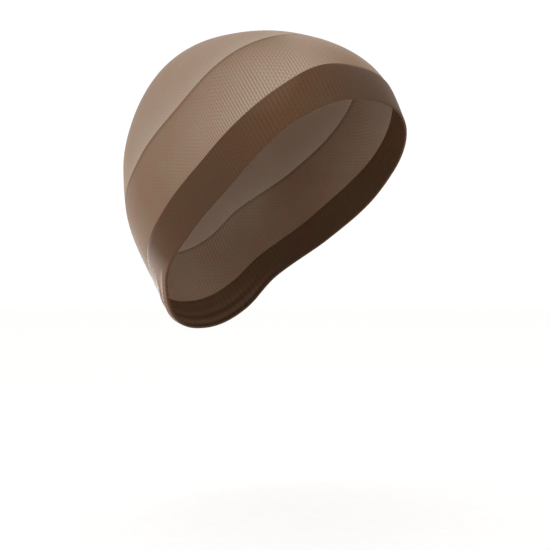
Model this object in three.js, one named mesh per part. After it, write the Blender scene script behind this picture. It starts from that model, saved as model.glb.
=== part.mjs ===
// A stocking wig cap: one stretched knitted tube in three zones, with the form that it has when worn.
// Millimetres, +Z up. The front of the head faces -Y and the wearer's right side is at -X.
// The origin is the top of the head inside the cap, where the head carries it.

import * as THREE from 'three';

// Head that stretches the cap, measured inside the cloth. Its widest place lies a little behind its centre,
// and the reaches to the forehead and to the back of the head are measured from there.
const HEAD_WIDTH = 137.2;
const FOREHEAD_REACH = 93.8;
const OCCIPUT_REACH = 91.3;
const CROWN_RISE = 79.8;
const NECK_DROP = 110;
const WIDEST_SETBACK = 7.5;

// Roundness of the head: 2 is an ellipse, more is squarer
const DOME_ROUNDNESS = 2.39;
const FRONT_ROUNDNESS = 2.35;
const BACK_ROUNDNESS = 2.3;

// Sections of the head. The level is a share of the crown's rise, or below the centre of the neck's drop.
// The other columns are shares of the half width and of the reach to the front and to the back.
// Above the centre they are taken of the dome's own section.
const HEAD_SECTIONS = [
  { level: -1.0, width: 0.51, front: 0.86, back: 0.49 },
  { level: -0.69, width: 0.665, front: 0.915, back: 0.762 },
  { level: -0.31, width: 0.91, front: 0.968, back: 0.98 },
  { level: 0.0, width: 1.0, front: 1.0, back: 1.0 },
  { level: 0.4, width: 1.048, front: 0.925, back: 0.91 },
  { level: 0.75, width: 1.13, front: 0.915, back: 0.77 },
  { level: 1.0, width: 1.145, front: 0.9, back: 0.7 },
];

// The tube's axis runs up through the head's centre and leans back by this many degrees
const TUBE_TILT = 36.2;

// How far the tube reaches down from its closed end, as an angle at the head's centre in degrees
const HEM_ANGLE = 102;

// Zones of the tube, measured up the cloth from the hem, and their walls
const WELT_WIDTH = 22.3;
const BAND_WIDTH = 36.2;
const WELT_WALL = 1.8;
const BAND_WALL = 1.2;
const CROWN_WALL = 1.0;
const JOIN_GAP = 0.3;

// The hem from the forehead, at 0 degrees, round either side to the nape: shares of the hem's angle, and
// of the welt's width as the cloth is stretched there
const HEM_LINE = [
  { around: 0, reach: 1.003, welt: 1.04 },
  { around: 20, reach: 1.01, welt: 1.055 },
  { around: 40, reach: 1.036, welt: 0.955 },
  { around: 80, reach: 1.115, welt: 1.01 },
  { around: 115, reach: 1.106, welt: 1.005 },
  { around: 145, reach: 1.063, welt: 0.945 },
  { around: 160, reach: 1.088, welt: 0.98 },
  { around: 180, reach: 1.1, welt: 1.0 },
];

// Folds that run along the hem where the cloth is slack round the nape: how far they stand out, and how far
// round to either side of the nape they start, in degrees. The rows give where each one lies up the welt and
// how wide it is, as shares of the welt's width, and its shares of the height and of the angle.
const FOLD_HEIGHT = 1.3;
const FOLD_ANGLE = 40;
const NAPE_FOLDS = [
  { up: 0.15, width: 0.24, height: 1.0, start: 1.0 },
  { up: 0.46, width: 0.3, height: 0.6, start: 0.8 },
];

// Facets: steps round the tube, rows up each zone, steps round the hem's turned edge, and points on a wale
// that its length is summed over
const WALE_COUNT = 88;
const WELT_ROWS = 12;
const BAND_ROWS = 6;
const CROWN_ROWS = 9;
const EDGE_STEPS = 3;
const WALE_SAMPLES = 60;

const WELT_COLOUR = 0x5c4536;
const BAND_COLOUR = 0x998674;
const CROWN_COLOUR = 0xa89684;
const KNIT_ROUGHNESS = 0.85;

// Search for the head's surface along a ray, which starts between its centre and this many rises out,
// and the angle in degrees between the points that a normal is taken from
const RAY_LIMIT = 3;
const RAY_HALVINGS = 32;
const NORMAL_STEP = 0.05;

const radians = THREE.MathUtils.degToRad;
const crownTop = new THREE.Vector3(0, WIDEST_SETBACK, CROWN_RISE);

// Smooth curve through one column of a table, flat at its two ends, read at a place along the key column
function readTable(table, key, column, place) {
  const last = table.length - 1;
  let row = 0;
  while (row < last - 1 && place > table[row + 1][key]) {
    row += 1;
  }
  const slope = (index) => {
    if (index === 0 || index === last) {
      return 0;
    }
    const before = table[index - 1];
    const after = table[index + 1];
    return (after[column] - before[column]) / (after[key] - before[key]);
  };
  const span = table[row + 1][key] - table[row][key];
  const share = THREE.MathUtils.clamp((place - table[row][key]) / span, 0, 1);
  const square = share * share;
  const cube = square * share;
  return (2 * cube - 3 * square + 1) * table[row][column]
    + (cube - 2 * square + share) * span * slope(row)
    + (3 * square - 2 * cube) * table[row + 1][column]
    + (cube - square) * span * slope(row + 1);
}

// Under 1 inside the head, 1 on its surface and more outside, at a point seen from the head's centre
function headRatio(point) {
  const above = point.z > 0;
  const level = point.z / (above ? CROWN_RISE : NECK_DROP);
  const rise = Math.min(Math.abs(level), 1);
  const dome = above ? (1 - rise ** DOME_ROUNDNESS) ** (1 / DOME_ROUNDNESS) : 1;
  if (dome < 1e-6) {
    return Infinity;
  }
  const section = (column) => dome * readTable(HEAD_SECTIONS, 'level', column, level);
  const y = point.y - WIDEST_SETBACK;
  const halfWidth = (HEAD_WIDTH / 2) * section('width');
  const reach = y < 0 ? FOREHEAD_REACH * section('front') : OCCIPUT_REACH * section('back');
  const roundness = y < 0 ? FRONT_ROUNDNESS : BACK_ROUNDNESS;
  const across = Math.abs(point.x / halfWidth) ** roundness;
  const along = Math.abs(y / reach) ** roundness;
  return (across + along) ** (1 / roundness);
}

// Where a ray from the head's centre leaves the head
function headPoint(direction) {
  let inside = 0;
  let outside = RAY_LIMIT * CROWN_RISE;
  for (let halving = 0; halving < RAY_HALVINGS; halving += 1) {
    const middle = (inside + outside) / 2;
    if (headRatio(direction.clone().multiplyScalar(middle)) < 1) {
      inside = middle;
    } else {
      outside = middle;
    }
  }
  return direction.clone().multiplyScalar(inside);
}

// A direction from the head's centre, by its angles round the tube's axis and down from it
function tubeDirection(around, down) {
  const tilt = radians(TUBE_TILT);
  const axis = new THREE.Vector3(0, Math.sin(tilt), Math.cos(tilt));
  const forward = new THREE.Vector3(0, -Math.cos(tilt), Math.sin(tilt));
  const side = new THREE.Vector3(-1, 0, 0);
  return new THREE.Vector3()
    .addScaledVector(axis, Math.cos(down))
    .addScaledVector(forward, Math.sin(down) * Math.cos(around))
    .addScaledVector(side, Math.sin(down) * Math.sin(around));
}

// The head's outward normal where a wale crosses it. All wales meet at the closed end, where courses have no
// length, so there the normal is taken a step beside it.
function headNormal(around, down) {
  const step = radians(NORMAL_STEP);
  const beside = Math.max(down, step);
  const round = step / Math.sin(beside);
  const alongWale = headPoint(tubeDirection(around, beside + step))
    .sub(headPoint(tubeDirection(around, beside - step)));
  const alongCourse = headPoint(tubeDirection(around + round, beside))
    .sub(headPoint(tubeDirection(around - round, beside)));
  return alongCourse.cross(alongWale).normalize();
}

// One wale of the knit, from the hem to the tube's closed end, with the length of cloth up to each point
// and up to the welt's edge
function makeWale(around) {
  const turn = Math.abs(THREE.MathUtils.euclideanModulo(around + 180, 360) - 180);
  const hemDown = radians(HEM_ANGLE * readTable(HEM_LINE, 'around', 'reach', turn));
  const samples = [];
  let length = 0;
  let previous = null;
  for (let index = 0; index <= WALE_SAMPLES; index += 1) {
    const down = hemDown * (1 - index / WALE_SAMPLES);
    const point = headPoint(tubeDirection(radians(around), down));
    length += previous ? point.distanceTo(previous) : 0;
    samples.push({ down, length });
    previous = point;
  }
  const weltTop = WELT_WIDTH * readTable(HEM_LINE, 'around', 'welt', turn);
  return { around, samples, length, weltTop };
}

// The angle down from the tube's axis at a length of cloth up from the hem
function downAt(wale, length) {
  const { samples } = wale;
  let index = 1;
  while (index < samples.length - 1 && samples[index].length < length) {
    index += 1;
  }
  const low = samples[index - 1];
  const high = samples[index];
  const share = (length - low.length) / (high.length - low.length);
  return THREE.MathUtils.lerp(low.down, high.down, share);
}

// How far the cloth stands off the head in the folds at the nape
function foldLift(around, length) {
  const fromNape = Math.abs(THREE.MathUtils.euclideanModulo(around, 360) - 180) / FOLD_ANGLE;
  return NAPE_FOLDS.reduce((lift, fold) => {
    const offset = (length / WELT_WIDTH - fold.up) / (fold.width / 2);
    if (Math.abs(offset) >= 1) {
      return lift;
    }
    const ridge = 0.5 + 0.5 * Math.cos(Math.PI * offset);
    const fade = 1 - THREE.MathUtils.smoothstep(fromNape, fold.start / 2, fold.start);
    return lift + FOLD_HEIGHT * fold.height * ridge * fade;
  }, 0);
}

// A point of the cloth on a wale: a length up from the hem, and a depth into the wall from its inside
function clothPoint(wale, length, depth) {
  const around = radians(wale.around);
  const down = downAt(wale, length);
  const point = headPoint(tubeDirection(around, down));
  const lift = depth + foldLift(wale.around, length);
  return point.addScaledVector(headNormal(around, down), lift).sub(crownTop);
}

// One closed skin over a chain of rings. A ring of one point closes the skin there, and a chain without
// such ends closes on itself.
function skinGeometry(rings) {
  const positions = [];
  const starts = [];
  for (const ring of rings) {
    starts.push(positions.length / 3);
    ring.forEach((point) => positions.push(point.x, point.y, point.z));
  }
  const columns = Math.max(...rings.map((ring) => ring.length));
  const vertex = (row, column) => starts[row] + (rings[row].length === 1 ? 0 : column % columns);
  const closesOnItself = rings[0].length > 1;
  const strips = closesOnItself ? rings.length : rings.length - 1;
  const indices = [];
  for (let row = 0; row < strips; row += 1) {
    const next = (row + 1) % rings.length;
    for (let column = 0; column < columns; column += 1) {
      const corners = [
        vertex(row, column + 1), vertex(row, column), vertex(next, column), vertex(next, column + 1),
      ];
      if (corners[0] !== corners[1]) {
        indices.push(corners[0], corners[1], corners[2]);
      }
      if (corners[2] !== corners[3]) {
        indices.push(corners[0], corners[2], corners[3]);
      }
    }
  }
  const geometry = new THREE.BufferGeometry();
  geometry.setAttribute('position', new THREE.Float32BufferAttribute(positions, 3));
  geometry.setIndex(indices);
  geometry.computeVertexNormals();
  return geometry;
}

const wales = Array.from({ length: WALE_COUNT }, (_, index) => makeWale((360 * index) / WALE_COUNT));

// A ring of the cloth: every wale at the same place in its zone
function clothRing(lengthOn, depth) {
  return wales.map((wale) => clothPoint(wale, lengthOn(wale), depth));
}

function knitMaterial(color) {
  return new THREE.MeshStandardMaterial({ color, roughness: KNIT_ROUGHNESS, metalness: 0 });
}

// The doubled hem: the cloth turns back at its lower edge, so that edge is round
function makeWelt() {
  const half = WELT_WALL / 2;
  const rowLength = (share) => (wale) => THREE.MathUtils.lerp(half, wale.weltTop - JOIN_GAP / 2, share);
  const rings = [];
  for (let row = WELT_ROWS; row >= 0; row -= 1) {
    rings.push(clothRing(rowLength(row / WELT_ROWS), 0));
  }
  for (let step = 1; step < EDGE_STEPS; step += 1) {
    const turn = (Math.PI * step) / EDGE_STEPS;
    rings.push(clothRing(() => half - half * Math.sin(turn), half - half * Math.cos(turn)));
  }
  for (let row = 0; row <= WELT_ROWS; row += 1) {
    rings.push(clothRing(rowLength(row / WELT_ROWS), WELT_WALL));
  }
  const mesh = new THREE.Mesh(skinGeometry(rings), knitMaterial(WELT_COLOUR));
  mesh.name = 'welt';
  return mesh;
}

// The denser knit between the hem and the crown
function makeMiddleBand() {
  const top = WELT_WIDTH + BAND_WIDTH - JOIN_GAP / 2;
  const rowLength = (share) => (wale) => THREE.MathUtils.lerp(wale.weltTop + JOIN_GAP / 2, top, share);
  const rings = [];
  for (let row = BAND_ROWS; row >= 0; row -= 1) {
    rings.push(clothRing(rowLength(row / BAND_ROWS), 0));
  }
  for (let row = 0; row <= BAND_ROWS; row += 1) {
    rings.push(clothRing(rowLength(row / BAND_ROWS), BAND_WALL));
  }
  const mesh = new THREE.Mesh(skinGeometry(rings), knitMaterial(BAND_COLOUR));
  mesh.name = 'middle_band';
  return mesh;
}

// The sheer knit over the top and the back of the head, closed at the end of the tube
function makeCrown() {
  const bottom = WELT_WIDTH + BAND_WIDTH + JOIN_GAP / 2;
  const rowLength = (share) => (wale) => THREE.MathUtils.lerp(bottom, wale.length, share);
  const tip = (depth) => [clothPoint(wales[0], wales[0].length, depth)];
  const rings = [tip(0)];
  for (let row = CROWN_ROWS - 1; row >= 0; row -= 1) {
    rings.push(clothRing(rowLength(row / CROWN_ROWS), 0));
  }
  for (let row = 0; row < CROWN_ROWS; row += 1) {
    rings.push(clothRing(rowLength(row / CROWN_ROWS), CROWN_WALL));
  }
  rings.push(tip(CROWN_WALL));
  const mesh = new THREE.Mesh(skinGeometry(rings), knitMaterial(CROWN_COLOUR));
  mesh.name = 'crown';
  return mesh;
}

const cap = new THREE.Group();
cap.add(makeCrown());
cap.add(makeMiddleBand());
cap.add(makeWelt());

export default cap;
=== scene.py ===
"""A stocking wig cap in its worn form: a stretched knitted tube in three zones, and the studio round it."""

import math

import bpy
import numpy as np
from bpy.props import (
    FloatProperty,
    FloatVectorProperty,
    IntProperty,
    PointerProperty,
)
from bpy.types import Operator, Panel, PropertyGroup
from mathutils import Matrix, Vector


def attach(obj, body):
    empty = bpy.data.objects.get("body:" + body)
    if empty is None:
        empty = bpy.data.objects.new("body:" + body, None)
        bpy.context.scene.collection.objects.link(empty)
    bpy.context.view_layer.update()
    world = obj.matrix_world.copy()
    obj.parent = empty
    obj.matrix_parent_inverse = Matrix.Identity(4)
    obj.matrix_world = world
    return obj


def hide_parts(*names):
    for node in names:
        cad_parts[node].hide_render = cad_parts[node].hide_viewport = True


bl_info = {
    "name": "Stocking Wig Cap",
    "version": (1, 0, 0),
    "blender": (4, 5, 0),
    "location": "View3D > Sidebar > Wig Cap",
    "description": "Models a worn stocking wig cap zone by zone, with its knit, and a plain studio round it",
    "category": "Add Mesh",
}

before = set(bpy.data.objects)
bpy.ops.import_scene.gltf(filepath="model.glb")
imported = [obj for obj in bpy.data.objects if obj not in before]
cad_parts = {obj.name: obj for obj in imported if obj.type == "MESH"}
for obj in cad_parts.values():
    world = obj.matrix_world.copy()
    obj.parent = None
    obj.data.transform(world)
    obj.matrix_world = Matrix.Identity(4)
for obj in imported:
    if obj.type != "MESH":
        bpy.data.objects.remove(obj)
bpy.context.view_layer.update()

MM = 0.001

# Sections of the head that stretches the cap. The level is a share of the crown's rise, or below the centre
# of the neck's drop; the other columns are shares of the half width and of the reach to front and back.
HEAD_SECTIONS = {
    "level": (-1.0, -0.69, -0.31, 0.0, 0.4, 0.75, 1.0),
    "width": (0.51, 0.665, 0.91, 1.0, 1.048, 1.13, 1.145),
    "front": (0.86, 0.915, 0.968, 1.0, 0.925, 0.915, 0.9),
    "back": (0.49, 0.762, 0.98, 1.0, 0.91, 0.77, 0.7),
}

# The hem from the forehead, at 0 degrees, round either side to the nape: shares of the hem's angle, and of
# the welt's width as the cloth is stretched there
HEM_LINE = {
    "around": (0, 20, 40, 80, 115, 145, 160, 180),
    "reach": (1.003, 1.01, 1.036, 1.115, 1.106, 1.063, 1.088, 1.1),
    "welt": (1.04, 1.055, 0.955, 1.01, 1.005, 0.945, 0.98, 1.0),
}

# Folds along the hem round the nape: where they lie up the welt and how wide they are, as shares of its
# width, their shares of the folds' height, and how far from the nape they start, as shares of the folds'
# angle
NAPE_FOLDS = {
    "up": (0.15, 0.46),
    "width": (0.24, 0.3),
    "height": (1.0, 0.6),
    "start": (1.0, 0.8),
}

# How open the stretched knit is, from the forehead at 0 degrees round to the nape: 0 where it is darkest, 1
# where it has its full colour, and 2 where it has turned pale: painted sheen, for glancing light on the yarn.
# The crown opens fully at its join, the band has a column for each of its joins, and the welt one for its
# lining and one for its face.
CROWN_OPENNESS = {"around": (0, 60, 120, 180), "open": (0.6, 0.5, 0.4, 0.5)}
BAND_OPENNESS = {
    "around": (0, 15, 30, 45, 62, 90, 122, 142, 180),
    "welt": (0.25, 0.54, 0.97, 0.98, 0.76, 0.38, 0.1, 0.17, 0.25),
    "crown": (1.1, 0.9, 0.15, 0.2, 0.3, 0.15, 0.14, 0.45, 0.4),
}
WELT_OPENNESS_AND_SHEEN = {
    "around": (0, 40, 75, 116, 134, 150, 180),
    "lining": (0.4, 0.8, 0.4, 0.35, 0.3, 0.3, 0.3),
    # Past 1, round the nape, the face's values are painted sheen: glancing light from behind on the left, put
    # in its colour
    "face": (0.1, 0.9, 0.5, 0.4, 0.85, 1.85, 1.85),
}
CROWN_JOIN_FADE = 9 * MM
BAND_FADE_POWER = 1.5
# The face's openness, with its painted sheen, fades in up from the hem and loses a share towards the top,
# where both sides gain some
WELT_HEM_FADE = 1.4 * MM
WELT_TOP_LOSS = 0.45
WELT_TOP_GAIN = 0.3

# Noise in the cloth, in cells for each metre: ribs come and go over about 18 mm, the tone over 42 mm and the
# dye over 11 mm, and the fuzz of the yarn is about 1.2 mm. The strength says how sharply ribs come and go,
# and the edge how far from its mean the dye's noise reaches the full lean in tint.
RIB_PATCHES = 55.0
TONE_PATCHES = 24.0
DYE_PATCHES = 95.0
FUZZ_GRAIN = 850.0
RIB_PATCH_STRENGTH = 2.5
DYE_PATCH_EDGE = 0.12

# How strongly nylon bends light, and how rough its fuzz is
NYLON_IOR = 1.53
FUZZ_ROUGHNESS = 0.2

# The paper's fibres, in cells for each metre
PAPER_FIBRES = 140.0

# Rows of faces up each side of a zone, and steps round the hem's turned edge
CROWN_ROWS = 56
BAND_ROWS = 26
WELT_ROWS = 26
HEM_STEPS = 8

# How far the welt's thinned upper edge stands above the band's face
WELT_EDGE_STEP = 0.15 * MM

# Length of cloth to which one unit of the Knit map belongs
KNIT_MAP_LENGTH = 100 * MM

# Points on a wale that its length is summed over, and the search for the head's surface along a ray, which
# ends this many rises out. A section of the dome never shrinks past the smallest, so nothing divides by zero.
WALE_SAMPLES = 72
RAY_LIMIT = 3.0
RAY_HALVINGS = 36
SMALLEST_SECTION = 1e-9
NORMAL_STEP = math.radians(0.05)
SMOOTH_ANGLE = math.radians(50)

# The floor, in metres, and the width of the camera's sensor, in millimetres
FLOOR_SIDES = 96
FLOOR_RADIUS = 4.0
SENSOR_WIDTH = 36.0

# Lamps: how far they stand from the head's centre towards the camera, to its right and up, and their sizes,
# in metres. The shine lamp lights no cloth evenly and shows only as gloss on the yarn.
LAMPS = {
    "key_lamp": {
        "place": (0.55, 0.35, 0.95),
        "size": (0.9, 0.9),
        "colour": (1, 1, 1),
        "diffuse": True,
    },
    "rim_lamp": {
        "place": (-0.3, -0.24, -0.12),
        "size": (0.25, 0.12),
        "colour": (1, 1, 1),
        "diffuse": True,
    },
    "shine_lamp": {
        "place": (-0.225, -0.26, -0.147),
        "size": (0.2, 0.08),
        "colour": (1, 0.8, 0.68),
        "diffuse": False,
    },
}


def linear(code):
    """A colour's sRGB hex code as linear red, green and blue."""
    parts = [int(code[i : i + 2], 16) / 255 for i in (0, 2, 4)]
    return tuple(p / 12.92 if p <= 0.04045 else ((p + 0.055) / 1.055) ** 2.4 for p in parts)


def length_property(name, description, millimetres):
    return FloatProperty(
        name=name,
        description=description,
        default=millimetres * MM,
        min=0.0,
        precision=4,
        subtype="DISTANCE",
        unit="LENGTH",
    )


def angle_property(name, description, degrees):
    return FloatProperty(name=name, description=description, default=math.radians(degrees), subtype="ANGLE")


def number_property(name, description, value):
    return FloatProperty(name=name, description=description, default=value)


def colour_property(name, description, code):
    return FloatVectorProperty(
        name=name,
        description=description,
        default=linear(code),
        min=0.0,
        max=1.0,
        subtype="COLOR",
    )


class WigCapForm(PropertyGroup):
    """The head that the cap is stretched over, and how the tube lies on it."""

    head_width: length_property("Head width", "Width of the head inside the cloth", 137.2)
    forehead_reach: length_property("Forehead reach", "From the head's widest place to the forehead", 93.8)
    occiput_reach: length_property("Occiput reach", "From the head's widest place to its back", 91.3)
    crown_rise: length_property("Crown rise", "From the head's centre up to its top", 79.8)
    neck_drop: length_property("Neck drop", "From the head's centre down to the lowest section", 110.0)
    widest_setback: length_property("Widest setback", "How far behind the centre the head is widest", 7.5)
    dome_roundness: number_property("Dome roundness", "2 is an ellipse, more is squarer", 2.39)
    front_roundness: number_property("Front roundness", "Of the front half of a section", 2.35)
    back_roundness: number_property("Back roundness", "Of the back half of a section", 2.3)
    tube_tilt: angle_property("Tube tilt", "How far the tube's axis leans back from upright", 36.2)
    hem_angle: angle_property("Hem angle", "From the tube's closed end down to its hem, at the centre", 102.0)


class WigCapCloth(PropertyGroup):
    """Zones, walls and folds of the knitted tube."""

    welt_width: length_property("Welt width", "Width of the doubled hem", 22.3)
    band_width: length_property("Band width", "Width of the denser knit above the welt", 36.2)
    crown_wall: length_property("Crown wall", "From the head to the crown's face", 1.0)
    band_wall: length_property("Band wall", "From the head to the band's face", 1.1)
    welt_wall: length_property("Welt wall", "From the head to the welt's face", 1.7)
    lining_lift: length_property("Lining lift", "From the head to the inside of the cloth", 0.2)
    welt_ramp: length_property("Welt ramp", "Cloth over which the welt's upper edge thins out", 2.0)
    join_gap: length_property("Join gap", "Between neighbouring zones", 0.06)
    fold_height: length_property("Fold height", "How far the folds at the nape stand out", 1.3)
    fold_angle: angle_property("Fold angle", "How far round from the nape the folds start", 40.0)
    columns: IntProperty(name="Columns", description="Steps round the tube", default=480, min=48)


class WigCapKnit(PropertyGroup):
    """Colours and stitch sizes of the three knits."""

    crown_colour: colour_property("Crown", "The sheer knit's colour where it is open", "A99484")
    crown_shade: colour_property("Crown shade", "The sheer knit's colour where it is closed", "917764")
    band_colour: colour_property("Band", "The denser knit's colour where it is open", "A08B7B")
    band_shade: colour_property("Band shade", "The denser knit's colour where it is closed", "7E634F")
    welt_colour: colour_property("Welt", "The doubled knit's colour where it is open", "5B412F")
    welt_shade: colour_property("Welt shade", "The doubled knit's colour where it is closed", "4C3A2D")
    # Painted sheen: the pale colour the welt's face takes at the nape stands in for glancing light on the
    # yarn
    welt_painted_sheen: colour_property("Welt pale", "The doubled knit's colour where it is pulled thin", "8A7160")
    course_height: length_property("Course height", "Between two courses of stitches", 1.3)


class WigCapStudio(PropertyGroup):
    """Camera, lights and floor."""

    azimuth: angle_property("Azimuth", "Where the camera stands, round from the forehead", 48.19)
    distance: length_property("Distance", "From the head's centre to the camera", 646.1)
    camera_drop: length_property("Camera drop", "From the head's centre down to the camera", 63.1)
    floor_drop: length_property("Floor drop", "From the camera down to the floor", 139.0)
    lens: number_property("Lens", "Focal length in millimetres", 70.5)
    framing_shift: number_property("Shift", "The camera's sideways shift, as a share of the frame", 0.0054)
    key_power: number_property("Key", "Power of the large lamp above, in watts", 1.5)
    rim_power: number_property("Rim", "Power of the lamp behind on the left, in watts", 0.55)
    shine_power: number_property("Shine", "Power of the lamp that glancing yarn reflects, in watts", 0.055)
    sky: number_property("Sky", "Strength of the white surroundings", 1.05)


def read_table(table, key, column, place):
    """A smooth curve through one column of a table, flat at its two ends."""
    keys = np.array(table[key], float)
    values = np.array(table[column], float)
    slopes = np.zeros(len(keys))
    slopes[1:-1] = (values[2:] - values[:-2]) / (keys[2:] - keys[:-2])
    row = np.clip(np.searchsorted(keys, place) - 1, 0, len(keys) - 2)
    span = keys[row + 1] - keys[row]
    share = np.clip((place - keys[row]) / span, 0, 1)
    square, cube = share**2, share**3
    start = (2 * cube - 3 * square + 1) * values[row] + (cube - 2 * square + share) * span * slopes[row]
    end = (3 * square - 2 * cube) * values[row + 1] + (cube - square) * span * slopes[row + 1]
    return start + end


def smooth_step(place, low, high):
    share = np.clip((place - low) / (high - low), 0, 1)
    return share * share * (3 - 2 * share)


def head_ratio(form, point):
    """Under 1 inside the head, 1 on its surface and more outside."""
    above = point[..., 2] > 0
    level = point[..., 2] / np.where(above, form.crown_rise, form.neck_drop)
    rise = np.minimum(np.abs(level), 1)
    dome = np.where(above, (1 - rise**form.dome_roundness) ** (1 / form.dome_roundness), 1)
    dome = np.maximum(dome, SMALLEST_SECTION)
    y = point[..., 1] - form.widest_setback
    half_width = form.head_width / 2 * dome * read_table(HEAD_SECTIONS, "level", "width", level)
    front = form.forehead_reach * dome * read_table(HEAD_SECTIONS, "level", "front", level)
    back = form.occiput_reach * dome * read_table(HEAD_SECTIONS, "level", "back", level)
    reach = np.where(y < 0, front, back)
    roundness = np.where(y < 0, form.front_roundness, form.back_roundness)
    across = np.abs(point[..., 0] / half_width) ** roundness
    along = np.abs(y / reach) ** roundness
    return (across + along) ** (1 / roundness)


def head_point(form, direction):
    """Where rays from the head's centre leave the head."""
    inside = np.zeros(direction.shape[:-1])
    outside = np.full(direction.shape[:-1], RAY_LIMIT * form.crown_rise)
    for _ in range(RAY_HALVINGS):
        middle = (inside + outside) / 2
        is_in = head_ratio(form, direction * middle[..., None]) < 1
        inside = np.where(is_in, middle, inside)
        outside = np.where(is_in, outside, middle)
    return direction * inside[..., None]


def tube_direction(form, around, down):
    """Directions from the head's centre, by their angles round the tube's axis and down from it."""
    axis = np.array([0, math.sin(form.tube_tilt), math.cos(form.tube_tilt)])
    forward = np.array([0, -math.cos(form.tube_tilt), math.sin(form.tube_tilt)])
    side = np.array([-1.0, 0, 0])
    around, down = np.broadcast_arrays(around, down)
    along_axis = np.cos(down)[..., None] * axis
    ahead = (np.sin(down) * np.cos(around))[..., None] * forward
    return along_axis + ahead + (np.sin(down) * np.sin(around))[..., None] * side


def head_normal(form, around, down):
    """The head's outward normals. All wales meet at the closed end, where courses have no length, so there
    the normal is taken a step beside it."""
    down = np.maximum(down, NORMAL_STEP)
    turn = NORMAL_STEP / np.sin(down)
    along_wale = head_point(form, tube_direction(form, around, down + NORMAL_STEP))
    along_wale = along_wale - head_point(form, tube_direction(form, around, down - NORMAL_STEP))
    along_course = head_point(form, tube_direction(form, around + turn, down))
    along_course = along_course - head_point(form, tube_direction(form, around - turn, down))
    normal = np.cross(along_course, along_wale)
    return normal / np.linalg.norm(normal, axis=-1)[..., None]


class Wales:
    """The wales of the tube, with the length of cloth up to each point of them."""

    def __init__(self, form, cloth):
        self.form, self.cloth = form, cloth
        self.degrees = -180 + 360 * np.arange(cloth.columns) / cloth.columns
        self.around = np.radians(self.degrees)
        turn = np.abs(self.degrees)
        hem_down = form.hem_angle * read_table(HEM_LINE, "around", "reach", turn)
        self.down = hem_down[:, None] * (1 - np.arange(WALE_SAMPLES + 1) / WALE_SAMPLES)
        points = head_point(form, tube_direction(form, self.around[:, None], self.down))
        steps = np.linalg.norm(np.diff(points, axis=1), axis=-1)
        self.samples = np.concatenate([np.zeros((cloth.columns, 1)), np.cumsum(steps, axis=1)], axis=1)
        self.length = self.samples[:, -1]
        self.welt_top = cloth.welt_width * read_table(HEM_LINE, "around", "welt", turn)
        self.top = np.array([0, form.widest_setback, form.crown_rise])

    def down_at(self, length):
        return np.array([np.interp(at, s, d) for at, s, d in zip(length, self.samples, self.down)])

    def fold_lift(self, length):
        """How far the cloth stands off the head in the folds at the nape."""
        from_nape = (180 - np.abs(self.degrees)) / math.degrees(self.cloth.fold_angle)
        lift = np.zeros(len(length))
        for up, width, height, start in zip(*NAPE_FOLDS.values()):
            offset = np.clip((length / self.cloth.welt_width - up) / (width / 2), -1, 1)
            ridge = 0.5 + 0.5 * np.cos(math.pi * offset)
            fade = 1 - smooth_step(from_nape, start / 2, start)
            lift = lift + self.cloth.fold_height * height * ridge * fade
        return lift

    def ring(self, length, lift):
        """One ring of points round the tube, at a length up each wale and a lift off the head."""
        down = self.down_at(length)
        point = head_point(self.form, tube_direction(self.form, self.around, down))
        lift = lift + self.fold_lift(length)
        return point + head_normal(self.form, self.around, down) * lift[:, None] - self.top


def cloth_mesh(name, wales, rings, closed_end, openness_and_painted_sheen):
    """A closed skin over a chain of rings, each (lengths, lifts, shares across the zone). With a closed end
    the first and the last ring have shrunk to a point, and otherwise the chain closes on itself. The Knit map
    holds the turn and the length up the cloth, and the Zone map how open the knit is, with painted sheen
    where it passes 1, and the share across the zone."""
    columns = wales.cloth.columns
    points, starts = [], []
    for row, (length, lift, _) in enumerate(rings):
        ring = wales.ring(length, lift)
        is_tip = closed_end and row in (0, len(rings) - 1)
        starts.append(len(points))
        points.extend(ring[:1] if is_tip else ring)
    faces, corners = [], []
    strips = len(rings) - 1 if closed_end else len(rings)
    for row in range(strips):
        after = (row + 1) % len(rings)
        for column in range(columns):
            loop = ((row, column + 1), (row, column), (after, column), (after, column + 1))
            face, at = [], []
            for r, c in loop:
                is_tip = closed_end and r in (0, len(rings) - 1)
                vertex = starts[r] + (0 if is_tip else c % columns)
                if vertex not in face:
                    face.append(vertex)
                    at.append((r, column + 0.5 if is_tip else c))
            faces.append(face)
            corners.extend(at)
    mesh = bpy.data.meshes.new(name)
    mesh.from_pydata([tuple(p) for p in points], [], faces)
    knit = mesh.uv_layers.new(name="Knit")
    zone = mesh.uv_layers.new(name="Zone")
    opened = [openness_and_painted_sheen(*ring) for ring in rings]
    for index, (row, column) in enumerate(corners):
        wale = int(column) % columns
        length, _, share = rings[row]
        knit.data[index].uv = (column / columns, float(length[wale]) / KNIT_MAP_LENGTH)
        zone.data[index].uv = (float(opened[row][wale]), float(share[wale]))
    mesh.validate()
    mesh.update()
    piece = bpy.data.objects.new(name, mesh)
    bpy.context.scene.collection.objects.link(piece)
    return piece


def smooth_faces(piece):
    bpy.ops.object.select_all(action="DESELECT")
    piece.select_set(True)
    bpy.context.view_layer.objects.active = piece
    bpy.ops.object.shade_smooth_by_angle(angle=SMOOTH_ANGLE)


def settle(piece, node, material):
    """Gives a cloth piece its finish and its place in the frame."""
    piece.data.materials.append(material)
    smooth_faces(piece)
    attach(piece, "root")
    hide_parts(node)


def add_node(tree, kind, settings=None, **links):
    """Adds a node, sets its properties and its inputs, and joins the inputs that are given a socket. An input
    goes by its name, or by i and its place where several have one name."""
    node = tree.nodes.new(kind)
    for name, value in (settings or {}).items():
        setattr(node, name, value)
    for name, value in links.items():
        by_place = name[0] == "i" and name[1:].isdigit()
        socket = node.inputs[int(name[1:]) if by_place else name.replace("_", " ")]
        if isinstance(value, bpy.types.NodeSocket):
            tree.links.new(value, socket)
        else:
            socket.default_value = value
    return node


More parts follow.
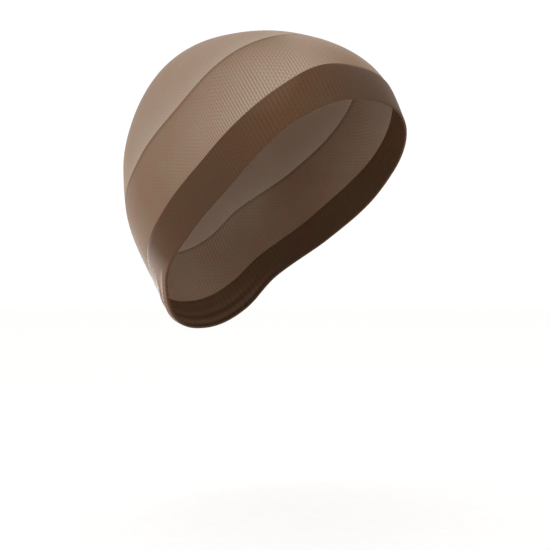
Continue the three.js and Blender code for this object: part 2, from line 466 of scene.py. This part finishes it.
def knit_material(name, colour, shade, pale, course, look):
    """Nylon and elastane yarn, knitted and stretched: matte, with a soft shine where the filaments turn
    away."""
    material = bpy.data.materials.new(name)
    material.use_nodes = True
    tree = material.node_tree
    tree.nodes.clear()

    def maths(operation, a, b=0.0, c=0.0):
        return add_node(tree, "ShaderNodeMath", {"operation": operation}, i0=a, i1=b, i2=c).outputs[0]

    def parts(uv_map):
        place = add_node(tree, "ShaderNodeUVMap", {"uv_map": uv_map}).outputs[0]
        return add_node(tree, "ShaderNodeSeparateXYZ", Vector=place).outputs

    turns, up = parts("Knit")[:2]
    openness_and_painted_sheen, across = parts("Zone")[:2]
    # Wales: ridges of stitches up the cloth. The real ones are about 0.6 mm apart, too fine to show, so they
    # are drawn two or three times as far apart.
    ridge = maths("SINE", maths("MULTIPLY", turns, 2 * math.pi * look["wales"]))
    # Courses: loops one above the other in each wale, half a loop out of step with those in the next wale.
    # They are drawn twice as tall as the real ones, for the same reason.
    wale = maths("SINE", maths("MULTIPLY", turns, math.pi * look["wales"]))
    loops = maths("MULTIPLY", wale, maths("SINE", maths("MULTIPLY", up, math.pi * KNIT_MAP_LENGTH / course)))
    coordinate = add_node(tree, "ShaderNodeTexCoord").outputs["Object"]

    def noise(scale, detail=1.0):
        """An uneven value from about -0.5 to 0.5."""
        cloud = add_node(tree, "ShaderNodeTexNoise", Vector=coordinate, Scale=scale, Detail=detail)
        return maths("SUBTRACT", cloud.outputs["Fac"], 0.5)

    # In some patches the wales show as lines, and elsewhere the loops show as a fine grid
    lines = maths("MULTIPLY_ADD", noise(RIB_PATCHES), RIB_PATCH_STRENGTH, look["ribbing"])
    relief = add_node(tree, "ShaderNodeMix", {"clamp_factor": True}, i0=lines, i2=loops, i3=ridge).outputs[0]
    relief = maths("MULTIPLY_ADD", relief, 0.5, 0.5)
    tone = maths("MULTIPLY_ADD", noise(TONE_PATCHES, 2.0), look["patches"], openness_and_painted_sheen)
    clamped_colour = {"data_type": "RGBA", "clamp_factor": True}
    mix = add_node(tree, "ShaderNodeMix", clamped_colour, i0=tone, i6=(*shade, 1), i7=(*colour, 1))
    # Past full colour the colour turns towards the pale one: painted sheen, standing in for glancing light on
    # the yarn
    thin = maths("SUBTRACT", openness_and_painted_sheen, 1.0)
    painted_sheen_mix = add_node(tree, "ShaderNodeMix", clamped_colour, i0=thin, i6=mix.outputs[2], i7=(*pale, 1))
    # The dye has taken unevenly: patches of about a centimetre lean a little to rose or to olive
    edge = DYE_PATCH_EDGE
    tint = add_node(tree, "ShaderNodeMapRange", i0=noise(DYE_PATCHES), i1=-edge, i2=edge, i3=0.0, i4=1.0)
    rose = (1 + look["dye"], 1 - look["dye"], 1 - look["dye"], 1)
    olive = (1 - look["dye"], 1 + look["dye"], 1, 1)
    dye = add_node(tree, "ShaderNodeMix", {"data_type": "RGBA"}, i0=tint.outputs[0], i6=rose, i7=olive)
    multiply = {"operation": "MULTIPLY"}
    dyed = add_node(tree, "ShaderNodeVectorMath", multiply, i0=painted_sheen_mix.outputs[2], i1=dye.outputs[2])
    # Light on the stitches: it fades where the knit is closed, and the yarn's fuzz breaks it up
    clear = maths("MULTIPLY_ADD", maths("MINIMUM", openness_and_painted_sheen, 1.0), 1 - look["plain"], look["plain"])
    light = maths("MULTIPLY", maths("MULTIPLY", maths("SUBTRACT", relief, 0.5), look["contrast"]), clear)
    light = maths("MULTIPLY_ADD", noise(FUZZ_GRAIN), look["fuzz"], light)
    # Joins: along the seam where zones meet, the last stitches of a zone get painted shade, as in a crease,
    # and the welt's top edge a painted highlight
    smooth = {"interpolation_type": "SMOOTHSTEP"}
    for start, end, gain in look["joins"]:
        join = add_node(tree, "ShaderNodeMapRange", smooth, i0=across, i1=start, i2=end, i3=0.0, i4=gain)
        light = maths("ADD", light, join.outputs[0])
    light = maths("ADD", light, 1.0)
    tinted = add_node(tree, "ShaderNodeVectorMath", {"operation": "SCALE"}, i0=dyed.outputs[0], Scale=light)
    bump = add_node(tree, "ShaderNodeBump", Height=relief, Strength=1.0, Distance=look["relief"] * MM)
    shader = add_node(
        tree,
        "ShaderNodeBsdfPrincipled",
        Base_Color=tinted.outputs[0],
        Normal=bump.outputs[0],
        Roughness=look["roughness"],
        IOR=NYLON_IOR,
        Specular_IOR_Level=look["gloss"],
        Sheen_Weight=look["sheen"],
        Sheen_Roughness=FUZZ_ROUGHNESS,
    )
    add_node(tree, "ShaderNodeOutputMaterial", Surface=shader.outputs[0])
    return material


def level_lift(wall):
    """The lift of a face that stands off the head by one wall all over."""
    return lambda length: np.full(len(length), wall)


def zone_rings(low, high, rows, lift, lining):
    """The rings of a thin wall between two lengths up the cloth: down its lining and up its face."""
    rings = []
    for row in range(rows, -1, -1):
        share = np.full(len(low), row / rows)
        rings.append((low + (high - low) * share, np.full(len(low), lining), share))
    for row in range(rows + 1):
        share = np.full(len(low), row / rows)
        length = low + (high - low) * share
        rings.append((length, lift(length), share))
    return rings


# How each knit is drawn: wales round the tube, how far they run through as ribs, their contrast and how much
# of it is left where the knit is closed, their relief in mm, how uneven its tone, dye and yarn are, the
# painted shade and painted highlight at the joins, each with its start and end across the zone, and the
# yarn's gloss

# The sheer knit, whose wales have the least contrast
SHEER_KNIT = {
    "wales": 360,
    "ribbing": 0.2,
    "contrast": 0.1,
    "plain": 0.5,
    "relief": 0.02,
    "patches": 0.5,
    "dye": 0.012,
    "fuzz": 0.1,
    # Painted shade on the crown's lowest stitches, next to the band
    "joins": ((0.0, 0.012, -0.05),),
    "gloss": 0.02,
    "roughness": 0.55,
    "sheen": 0.05,
}

# The denser knit, whose wales have the most contrast where it is open and next to none where it is closed
DENSE_KNIT = {
    "wales": 300,
    "ribbing": 0.6,
    "contrast": 0.6,
    "plain": 0.12,
    "relief": 0.05,
    "patches": 0.35,
    "dye": 0.02,
    "fuzz": 0.12,
    # Painted shade on the band's top stitches, next to the crown
    "joins": ((0.92, 0.98, -0.22),),
    "gloss": 0.02,
    "roughness": 0.55,
    "sheen": 0.05,
}

# The doubled knit, with the coarsest wales and the smoothest yarn
RIBBED_WELT = {
    "wales": 210,
    "ribbing": 0.7,
    "contrast": 0.2,
    "plain": 0.6,
    "relief": 0.05,
    "patches": 0.5,
    "dye": 0.028,
    "fuzz": 0.16,
    # Painted shade under the welt's top edge, and a painted highlight along the edge itself
    "joins": ((0.86, 0.94, -0.06), (0.96, 1.0, 0.14)),
    "gloss": 0.02,
    "roughness": 0.4,
    "sheen": 0.0,
}


class WIGCAP_OT_crown(Operator):
    """Knits the sheer crown over the top and the back of the head, closed at the tube's end"""

    bl_idname = "wig_cap.crown"
    bl_label = "Crown"

    def execute(self, context):
        form, cloth, knit = settings_of(context)
        wales = Wales(form, cloth)
        low = np.full(cloth.columns, cloth.welt_width + cloth.band_width + cloth.join_gap / 2)
        rings = zone_rings(low, wales.length, CROWN_ROWS, level_lift(cloth.crown_wall), cloth.lining_lift)
        away_from_join = read_table(CROWN_OPENNESS, "around", "open", np.abs(wales.degrees))

        def openness_and_painted_sheen(length, lift, share):
            near_join = np.exp(-np.maximum(length - low, 0) / CROWN_JOIN_FADE)
            return away_from_join + (1 - away_from_join) * near_join

        piece = cloth_mesh("crown_knit", wales, rings, True, openness_and_painted_sheen)
        material = knit_material(
            "sheer_nylon_knit",
            knit.crown_colour,
            knit.crown_shade,
            knit.crown_colour,
            knit.course_height,
            SHEER_KNIT,
        )
        settle(piece, "crown", material)
        return {"FINISHED"}


class WIGCAP_OT_middle_band(Operator):
    """Knits the denser band between the crown and the welt"""

    bl_idname = "wig_cap.middle_band"
    bl_label = "Middle band"

    def execute(self, context):
        form, cloth, knit = settings_of(context)
        wales = Wales(form, cloth)
        low = wales.welt_top + cloth.join_gap / 2
        high = np.full(cloth.columns, cloth.welt_width + cloth.band_width - cloth.join_gap / 2)
        rings = zone_rings(low, high, BAND_ROWS, level_lift(cloth.band_wall), cloth.lining_lift)
        at_welt = read_table(BAND_OPENNESS, "around", "welt", np.abs(wales.degrees))
        at_crown = read_table(BAND_OPENNESS, "around", "crown", np.abs(wales.degrees))

        def openness_and_painted_sheen(length, lift, share):
            return at_welt + (at_crown - at_welt) * share**BAND_FADE_POWER

        piece = cloth_mesh("middle_band_knit", wales, rings, False, openness_and_painted_sheen)
        material = knit_material(
            "dense_nylon_knit",
            knit.band_colour,
            knit.band_shade,
            knit.band_colour,
            knit.course_height,
            DENSE_KNIT,
        )
        settle(piece, "middle_band", material)
        return {"FINISHED"}


class WIGCAP_OT_welt(Operator):
    """Knits the doubled dark welt round the opening, folded over at the hem"""

    bl_idname = "wig_cap.welt"
    bl_label = "Welt"

    def execute(self, context):
        form, cloth, knit = settings_of(context)
        wales = Wales(form, cloth)
        half = (cloth.welt_wall - cloth.lining_lift) / 2
        low = np.full(cloth.columns, half)
        high = wales.welt_top - cloth.join_gap / 2

        def lift(length):
            thin = cloth.band_wall + WELT_EDGE_STEP
            return thin + (cloth.welt_wall - thin) * smooth_step(high - length, 0, cloth.welt_ramp)

        rings = zone_rings(low, high, WELT_ROWS, lift, cloth.lining_lift)
        lining_rings = WELT_ROWS + 1
        turned_edge = []
        for step in range(1, HEM_STEPS):
            turn = math.pi * step / HEM_STEPS
            length = np.full(cloth.columns, half - half * math.sin(turn))
            height = np.full(cloth.columns, cloth.lining_lift + half - half * math.cos(turn))
            turned_edge.append((length, height, np.zeros(cloth.columns)))
        rings = rings[:lining_rings] + turned_edge + rings[lining_rings:]
        lining = read_table(WELT_OPENNESS_AND_SHEEN, "around", "lining", np.abs(wales.degrees))
        face = read_table(WELT_OPENNESS_AND_SHEEN, "around", "face", np.abs(wales.degrees))

        # Round the nape the face's openness passes 1: painted sheen, standing in for glancing light on the
        # yarn, kept off the hem's turned edge
        def openness_and_painted_sheen(length, lift, share):
            outside = smooth_step(lift, cloth.lining_lift, cloth.band_wall) * (1 - WELT_TOP_LOSS * share)
            clear_of_hem = smooth_step(length, 0, WELT_HEM_FADE)
            return lining + (face - lining) * outside * clear_of_hem + WELT_TOP_GAIN * share

        piece = cloth_mesh("welt_knit", wales, rings, False, openness_and_painted_sheen)
        material = knit_material(
            "ribbed_nylon_welt",
            knit.welt_colour,
            knit.welt_shade,
            knit.welt_painted_sheen,
            knit.course_height,
            RIBBED_WELT,
        )
        settle(piece, "welt", material)
        return {"FINISHED"}


class WIGCAP_OT_studio(Operator):
    """Sets up the pale floor, the soft lamps, the white surroundings and the camera"""

    bl_idname = "wig_cap.studio"
    bl_label = "Studio"

    def execute(self, context):
        form, studio = context.scene.wig_cap_form, context.scene.wig_cap_studio
        near = Vector((-math.sin(studio.azimuth), -math.cos(studio.azimuth), 0))
        right = Vector((math.cos(studio.azimuth), -math.sin(studio.azimuth), 0))
        centre = Vector((0, -form.widest_setback, -form.crown_rise))
        eye = centre + near * studio.distance - Vector((0, 0, studio.camera_drop))
        bpy.ops.object.select_all(action="DESELECT")
        bpy.ops.object.camera_add(location=eye, rotation=(math.pi / 2, 0, -studio.azimuth))
        camera = context.object
        camera.name = "studio_camera"
        camera.data.sensor_width = SENSOR_WIDTH
        camera.data.lens = studio.lens
        camera.data.shift_x = studio.framing_shift
        context.scene.camera = camera

        bpy.ops.object.select_all(action="DESELECT")
        bpy.ops.mesh.primitive_circle_add(
            vertices=FLOOR_SIDES,
            radius=FLOOR_RADIUS,
            fill_type="NGON",
            location=(0, 0, eye.z - studio.floor_drop),
        )
        floor = context.object
        floor.name = "studio_floor"
        bpy.ops.object.transform_apply(location=True, rotation=True, scale=True)
        floor.data.materials.append(paper_material())

        powers = (studio.key_power, studio.rim_power, studio.shine_power)
        for (name, lamp), power in zip(LAMPS.items(), powers):
            towards_camera, to_right, up = lamp["place"]
            place = centre + near * towards_camera + right * to_right + Vector((0, 0, up))
            bpy.ops.object.select_all(action="DESELECT")
            bpy.ops.object.light_add(type="AREA", location=place)
            light = context.object
            light.name = name
            light.rotation_euler = (centre - place).to_track_quat("-Z", "Y").to_euler()
            light.data.shape = "RECTANGLE"
            light.data.size, light.data.size_y = lamp["size"]
            light.data.energy = power
            light.data.color = lamp["colour"]
            light.visible_camera = False
            light.visible_diffuse = lamp["diffuse"]

        world = bpy.data.worlds.new("white_surroundings")
        context.scene.world = world
        world.use_nodes = True
        background = world.node_tree.nodes["Background"]
        background.inputs["Color"].default_value = (1, 1, 1, 1)
        background.inputs["Strength"].default_value = studio.sky
        context.scene.view_settings.view_transform = "Standard"
        context.scene.view_settings.look = "None"
        return {"FINISHED"}


def paper_material():
    """Seamless background paper: matte, uncoated and nearly white, with the faint mottling of its fibres."""
    material = bpy.data.materials.new("matte_background_paper")
    material.use_nodes = True
    tree = material.node_tree
    tree.nodes.clear()
    coordinate = add_node(tree, "ShaderNodeTexCoord").outputs["Object"]
    fibres = add_node(tree, "ShaderNodeTexNoise", Vector=coordinate, Scale=PAPER_FIBRES, Detail=3.0)
    low, high = (*linear("F7F6F4"), 1), (*linear("FBFBFA"), 1)
    mix = add_node(tree, "ShaderNodeMix", {"data_type": "RGBA"}, i0=fibres.outputs["Fac"], i6=low, i7=high)
    shader = add_node(
        tree,
        "ShaderNodeBsdfPrincipled",
        Base_Color=mix.outputs[2],
        Roughness=0.9,
        Specular_IOR_Level=0.0,
    )
    add_node(tree, "ShaderNodeOutputMaterial", Surface=shader.outputs[0])
    return material


class WIGCAP_PT_panel(Panel):
    """Lists the cap's pieces and their sizes"""

    bl_idname = "WIGCAP_PT_panel"
    bl_label = "Wig Cap"
    bl_space_type = "VIEW_3D"
    bl_region_type = "UI"
    bl_category = "Wig Cap"

    def draw(self, context):
        layout = self.layout
        for operator in OPERATORS:
            layout.operator(operator.bl_idname)
        for title, group in GROUPS.items():
            box = layout.box()
            box.label(text=title)
            values = getattr(context.scene, group)
            for name in values.__annotations__:
                box.prop(values, name)


OPERATORS = (WIGCAP_OT_crown, WIGCAP_OT_middle_band, WIGCAP_OT_welt, WIGCAP_OT_studio)
GROUPS = {
    "Form": "wig_cap_form",
    "Cloth": "wig_cap_cloth",
    "Knit": "wig_cap_knit",
    "Studio": "wig_cap_studio",
}
GROUP_CLASSES = (WigCapForm, WigCapCloth, WigCapKnit, WigCapStudio)


def settings_of(context):
    return context.scene.wig_cap_form, context.scene.wig_cap_cloth, context.scene.wig_cap_knit


def register():
    for item in (*GROUP_CLASSES, *OPERATORS, WIGCAP_PT_panel):
        bpy.utils.register_class(item)
    for name, group in zip(GROUPS.values(), GROUP_CLASSES):
        setattr(bpy.types.Scene, name, PointerProperty(type=group))


def unregister():
    for name in GROUPS.values():
        delattr(bpy.types.Scene, name)
    for item in reversed((*GROUP_CLASSES, *OPERATORS, WIGCAP_PT_panel)):
        bpy.utils.unregister_class(item)


def main():
    register()
    bpy.ops.wig_cap.crown()
    bpy.ops.wig_cap.middle_band()
    bpy.ops.wig_cap.welt()
    bpy.ops.wig_cap.studio()
    bpy.context.view_layer.update()


if __name__ == "__main__":
    main()
